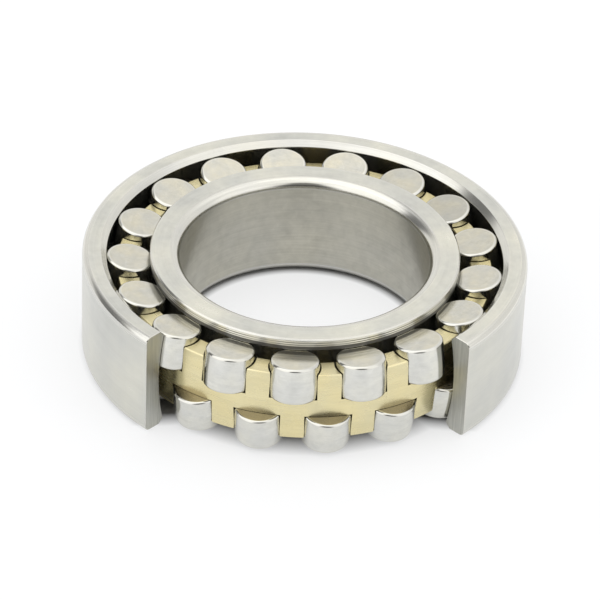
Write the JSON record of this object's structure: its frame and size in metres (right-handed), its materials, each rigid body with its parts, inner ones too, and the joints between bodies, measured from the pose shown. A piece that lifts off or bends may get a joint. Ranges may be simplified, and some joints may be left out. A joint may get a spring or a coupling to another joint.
{
  "type": "spherical roller bearing",
  "caption": "Self-aligning spherical roller bearing: barrel rollers in a one-piece brass cage between steel rings, with part of the outer ring cut away to show them.",
  "frame": {"origin": "bearing centre: on the bearing axis, midway between the side faces; the inner ring, cage and rollers align about this point", "axes": "+Z along the bearing axis; the removed sector of the outer ring faces -Y"},
  "size_m": [0.16, 0.1532, 0.04],
  "materials": {
    "ring_steel": "ground satin, fine turning lines on the side faces, brushed on the cut faces",
    "roller_steel": "finely ground barrel, satin end faces",
    "guide_steel": "ground",
    "cage_brass": "machined, satin"
  },
  "bodies": {
    "outer_ring": {"outer_ring": "ring_steel"},
    "inner_ring": {"inner_ring": "ring_steel"},
    "guide_ring": {"guide_ring": "guide_steel"},
    "cage": {"cage": "cage_brass"},
    "roller_upper_01": {"roller_upper_01": "roller_steel"},
    "roller_upper_02": {"roller_upper_02": "roller_steel"},
    "roller_upper_03": {"roller_upper_03": "roller_steel"},
    "roller_upper_04": {"roller_upper_04": "roller_steel"},
    "roller_upper_05": {"roller_upper_05": "roller_steel"},
    "roller_upper_06": {"roller_upper_06": "roller_steel"},
    "roller_upper_07": {"roller_upper_07": "roller_steel"},
    "roller_upper_08": {"roller_upper_08": "roller_steel"},
    "roller_upper_09": {"roller_upper_09": "roller_steel"},
    "roller_upper_10": {"roller_upper_10": "roller_steel"},
    "roller_upper_11": {"roller_upper_11": "roller_steel"},
    "roller_upper_12": {"roller_upper_12": "roller_steel"},
    "roller_upper_13": {"roller_upper_13": "roller_steel"},
    "roller_upper_14": {"roller_upper_14": "roller_steel"},
    "roller_upper_15": {"roller_upper_15": "roller_steel"},
    "roller_upper_16": {"roller_upper_16": "roller_steel"},
    "roller_upper_17": {"roller_upper_17": "roller_steel"},
    "roller_lower_01": {"roller_lower_01": "roller_steel"},
    "roller_lower_02": {"roller_lower_02": "roller_steel"},
    "roller_lower_03": {"roller_lower_03": "roller_steel"},
    "roller_lower_04": {"roller_lower_04": "roller_steel"},
    "roller_lower_05": {"roller_lower_05": "roller_steel"},
    "roller_lower_06": {"roller_lower_06": "roller_steel"},
    "roller_lower_07": {"roller_lower_07": "roller_steel"},
    "roller_lower_08": {"roller_lower_08": "roller_steel"},
    "roller_lower_09": {"roller_lower_09": "roller_steel"},
    "roller_lower_10": {"roller_lower_10": "roller_steel"},
    "roller_lower_11": {"roller_lower_11": "roller_steel"},
    "roller_lower_12": {"roller_lower_12": "roller_steel"},
    "roller_lower_13": {"roller_lower_13": "roller_steel"},
    "roller_lower_14": {"roller_lower_14": "roller_steel"},
    "roller_lower_15": {"roller_lower_15": "roller_steel"},
    "roller_lower_16": {"roller_lower_16": "roller_steel"},
    "roller_lower_17": {"roller_lower_17": "roller_steel"}
  },
  "joints": [
    {"name": "self_align", "type": "hinge", "parent": "outer_ring", "child": "guide_ring", "pos_m": [0, 0, 0], "axis": [1, 0, 0], "range_deg": [-2, 2]},
    {"name": "inner_spin", "type": "hinge", "parent": "guide_ring", "child": "inner_ring", "pos_m": [0, 0, 0], "axis": [0, 0, 1], "continuous": true},
    {"name": "cage_spin", "type": "hinge", "parent": "guide_ring", "child": "cage", "pos_m": [0, 0, 0], "axis": [0, 0, 1], "continuous": true},
    {"name": "roller_upper_01_spin", "type": "hinge", "parent": "cage", "child": "roller_upper_01", "pos_m": [-0.002, -0.06366, 0.00986], "axis": [0.0048, 0.1529, 0.9882], "continuous": true},
    {"name": "roller_upper_02_spin", "type": "hinge", "parent": "cage", "child": "roller_upper_02", "pos_m": [0.02113, -0.06008, 0.00986], "axis": [-0.0508, 0.1443, 0.9882], "continuous": true},
    {"name": "roller_upper_03_spin", "type": "hinge", "parent": "cage", "child": "roller_upper_03", "pos_m": [0.04141, -0.04839, 0.00986], "axis": [-0.0995, 0.1162, 0.9882], "continuous": true},
    {"name": "roller_upper_04_spin", "type": "hinge", "parent": "cage", "child": "roller_upper_04", "pos_m": [0.05609, -0.03017, 0.00986], "axis": [-0.1347, 0.0725, 0.9882], "continuous": true},
    {"name": "roller_upper_05_spin", "type": "hinge", "parent": "cage", "child": "roller_upper_05", "pos_m": [0.0632, -0.00787, 0.00986], "axis": [-0.1518, 0.0189, 0.9882], "continuous": true},
    {"name": "roller_upper_06_spin", "type": "hinge", "parent": "cage", "child": "roller_upper_06", "pos_m": [0.06178, 0.0155, 0.00986], "axis": [-0.1484, -0.0372, 0.9882], "continuous": true},
    {"name": "roller_upper_07_spin", "type": "hinge", "parent": "cage", "child": "roller_upper_07", "pos_m": [0.05201, 0.03677, 0.00986], "axis": [-0.1249, -0.0883, 0.9882], "continuous": true},
    {"name": "roller_upper_08_spin", "type": "hinge", "parent": "cage", "child": "roller_upper_08", "pos_m": [0.03521, 0.05307, 0.00986], "axis": [-0.0846, -0.1275, 0.9882], "continuous": true},
    {"name": "roller_upper_09_spin", "type": "hinge", "parent": "cage", "child": "roller_upper_09", "pos_m": [0.01366, 0.06221, 0.00986], "axis": [-0.0328, -0.1494, 0.9882], "continuous": true},
    {"name": "roller_upper_10_spin", "type": "hinge", "parent": "cage", "child": "roller_upper_10", "pos_m": [-0.00973, 0.06294, 0.00986], "axis": [0.0234, -0.1512, 0.9882], "continuous": true},
    {"name": "roller_upper_11_spin", "type": "hinge", "parent": "cage", "child": "roller_upper_11", "pos_m": [-0.03181, 0.05518, 0.00986], "axis": [0.0764, -0.1325, 0.9882], "continuous": true},
    {"name": "roller_upper_12_spin", "type": "hinge", "parent": "cage", "child": "roller_upper_12", "pos_m": [-0.0496, 0.03996, 0.00986], "axis": [0.1191, -0.096, 0.9882], "continuous": true},
    {"name": "roller_upper_13_spin", "type": "hinge", "parent": "cage", "child": "roller_upper_13", "pos_m": [-0.06068, 0.01935, 0.00986], "axis": [0.1458, -0.0465, 0.9882], "continuous": true},
    {"name": "roller_upper_14_spin", "type": "hinge", "parent": "cage", "child": "roller_upper_14", "pos_m": [-0.06357, -0.00388, 0.00986], "axis": [0.1527, 0.0093, 0.9882], "continuous": true},
    {"name": "roller_upper_15_spin", "type": "hinge", "parent": "cage", "child": "roller_upper_15", "pos_m": [-0.05788, -0.02658, 0.00986], "axis": [0.139, 0.0639, 0.9882], "continuous": true},
    {"name": "roller_upper_16_spin", "type": "hinge", "parent": "cage", "child": "roller_upper_16", "pos_m": [-0.04437, -0.0457, 0.00986], "axis": [0.1066, 0.1098, 0.9882], "continuous": true},
    {"name": "roller_upper_17_spin", "type": "hinge", "parent": "cage", "child": "roller_upper_17", "pos_m": [-0.02486, -0.05864, 0.00986], "axis": [0.0597, 0.1408, 0.9882], "continuous": true},
    {"name": "roller_lower_01_spin", "type": "hinge", "parent": "cage", "child": "roller_lower_01", "pos_m": [0.00973, -0.06294, -0.00986], "axis": [0.0234, -0.1512, 0.9882], "continuous": true},
    {"name": "roller_lower_02_spin", "type": "hinge", "parent": "cage", "child": "roller_lower_02", "pos_m": [0.03181, -0.05518, -0.00986], "axis": [0.0764, -0.1325, 0.9882], "continuous": true},
    {"name": "roller_lower_03_spin", "type": "hinge", "parent": "cage", "child": "roller_lower_03", "pos_m": [0.0496, -0.03996, -0.00986], "axis": [0.1191, -0.096, 0.9882], "continuous": true},
    {"name": "roller_lower_04_spin", "type": "hinge", "parent": "cage", "child": "roller_lower_04", "pos_m": [0.06068, -0.01935, -0.00986], "axis": [0.1458, -0.0465, 0.9882], "continuous": true},
    {"name": "roller_lower_05_spin", "type": "hinge", "parent": "cage", "child": "roller_lower_05", "pos_m": [0.06357, 0.00388, -0.00986], "axis": [0.1527, 0.0093, 0.9882], "continuous": true},
    {"name": "roller_lower_06_spin", "type": "hinge", "parent": "cage", "child": "roller_lower_06", "pos_m": [0.05788, 0.02658, -0.00986], "axis": [0.139, 0.0639, 0.9882], "continuous": true},
    {"name": "roller_lower_07_spin", "type": "hinge", "parent": "cage", "child": "roller_lower_07", "pos_m": [0.04437, 0.0457, -0.00986], "axis": [0.1066, 0.1098, 0.9882], "continuous": true},
    {"name": "roller_lower_08_spin", "type": "hinge", "parent": "cage", "child": "roller_lower_08", "pos_m": [0.02486, 0.05864, -0.00986], "axis": [0.0597, 0.1408, 0.9882], "continuous": true},
    {"name": "roller_lower_09_spin", "type": "hinge", "parent": "cage", "child": "roller_lower_09", "pos_m": [0.002, 0.06366, -0.00986], "axis": [0.0048, 0.1529, 0.9882], "continuous": true},
    {"name": "roller_lower_10_spin", "type": "hinge", "parent": "cage", "child": "roller_lower_10", "pos_m": [-0.02113, 0.06008, -0.00986], "axis": [-0.0508, 0.1443, 0.9882], "continuous": true},
    {"name": "roller_lower_11_spin", "type": "hinge", "parent": "cage", "child": "roller_lower_11", "pos_m": [-0.04141, 0.04839, -0.00986], "axis": [-0.0995, 0.1162, 0.9882], "continuous": true},
    {"name": "roller_lower_12_spin", "type": "hinge", "parent": "cage", "child": "roller_lower_12", "pos_m": [-0.05609, 0.03017, -0.00986], "axis": [-0.1347, 0.0725, 0.9882], "continuous": true},
    {"name": "roller_lower_13_spin", "type": "hinge", "parent": "cage", "child": "roller_lower_13", "pos_m": [-0.0632, 0.00787, -0.00986], "axis": [-0.1518, 0.0189, 0.9882], "continuous": true},
    {"name": "roller_lower_14_spin", "type": "hinge", "parent": "cage", "child": "roller_lower_14", "pos_m": [-0.06178, -0.0155, -0.00986], "axis": [-0.1484, -0.0372, 0.9882], "continuous": true},
    {"name": "roller_lower_15_spin", "type": "hinge", "parent": "cage", "child": "roller_lower_15", "pos_m": [-0.05201, -0.03677, -0.00986], "axis": [-0.1249, -0.0883, 0.9882], "continuous": true},
    {"name": "roller_lower_16_spin", "type": "hinge", "parent": "cage", "child": "roller_lower_16", "pos_m": [-0.03521, -0.05307, -0.00986], "axis": [-0.0846, -0.1275, 0.9882], "continuous": true},
    {"name": "roller_lower_17_spin", "type": "hinge", "parent": "cage", "child": "roller_lower_17", "pos_m": [-0.01366, -0.06221, -0.00986], "axis": [-0.0328, -0.1494, 0.9882], "continuous": true}
  ],
  "couplings": [
    {"joint": "cage_spin", "follows": "inner_spin", "ratio": 0.43057},
    {"joint": "roller_upper_01_spin", "follows": "inner_spin", "ratio": -3.4896},
    {"joint": "roller_upper_02_spin", "follows": "inner_spin", "ratio": -3.4896},
    {"joint": "roller_upper_03_spin", "follows": "inner_spin", "ratio": -3.4896},
    {"joint": "roller_upper_04_spin", "follows": "inner_spin", "ratio": -3.4896},
    {"joint": "roller_upper_05_spin", "follows": "inner_spin", "ratio": -3.4896},
    {"joint": "roller_upper_06_spin", "follows": "inner_spin", "ratio": -3.4896},
    {"joint": "roller_upper_07_spin", "follows": "inner_spin", "ratio": -3.4896},
    {"joint": "roller_upper_08_spin", "follows": "inner_spin", "ratio": -3.4896},
    {"joint": "roller_upper_09_spin", "follows": "inner_spin", "ratio": -3.4896},
    {"joint": "roller_upper_10_spin", "follows": "inner_spin", "ratio": -3.4896},
    {"joint": "roller_upper_11_spin", "follows": "inner_spin", "ratio": -3.4896},
    {"joint": "roller_upper_12_spin", "follows": "inner_spin", "ratio": -3.4896},
    {"joint": "roller_upper_13_spin", "follows": "inner_spin", "ratio": -3.4896},
    {"joint": "roller_upper_14_spin", "follows": "inner_spin", "ratio": -3.4896},
    {"joint": "roller_upper_15_spin", "follows": "inner_spin", "ratio": -3.4896},
    {"joint": "roller_upper_16_spin", "follows": "inner_spin", "ratio": -3.4896},
    {"joint": "roller_upper_17_spin", "follows": "inner_spin", "ratio": -3.4896},
    {"joint": "roller_lower_01_spin", "follows": "inner_spin", "ratio": -3.4896},
    {"joint": "roller_lower_02_spin", "follows": "inner_spin", "ratio": -3.4896},
    {"joint": "roller_lower_03_spin", "follows": "inner_spin", "ratio": -3.4896},
    {"joint": "roller_lower_04_spin", "follows": "inner_spin", "ratio": -3.4896},
    {"joint": "roller_lower_05_spin", "follows": "inner_spin", "ratio": -3.4896},
    {"joint": "roller_lower_06_spin", "follows": "inner_spin", "ratio": -3.4896},
    {"joint": "roller_lower_07_spin", "follows": "inner_spin", "ratio": -3.4896},
    {"joint": "roller_lower_08_spin", "follows": "inner_spin", "ratio": -3.4896},
    {"joint": "roller_lower_09_spin", "follows": "inner_spin", "ratio": -3.4896},
    {"joint": "roller_lower_10_spin", "follows": "inner_spin", "ratio": -3.4896},
    {"joint": "roller_lower_11_spin", "follows": "inner_spin", "ratio": -3.4896},
    {"joint": "roller_lower_12_spin", "follows": "inner_spin", "ratio": -3.4896},
    {"joint": "roller_lower_13_spin", "follows": "inner_spin", "ratio": -3.4896},
    {"joint": "roller_lower_14_spin", "follows": "inner_spin", "ratio": -3.4896},
    {"joint": "roller_lower_15_spin", "follows": "inner_spin", "ratio": -3.4896},
    {"joint": "roller_lower_16_spin", "follows": "inner_spin", "ratio": -3.4896},
    {"joint": "roller_lower_17_spin", "follows": "inner_spin", "ratio": -3.4896}
  ]
}
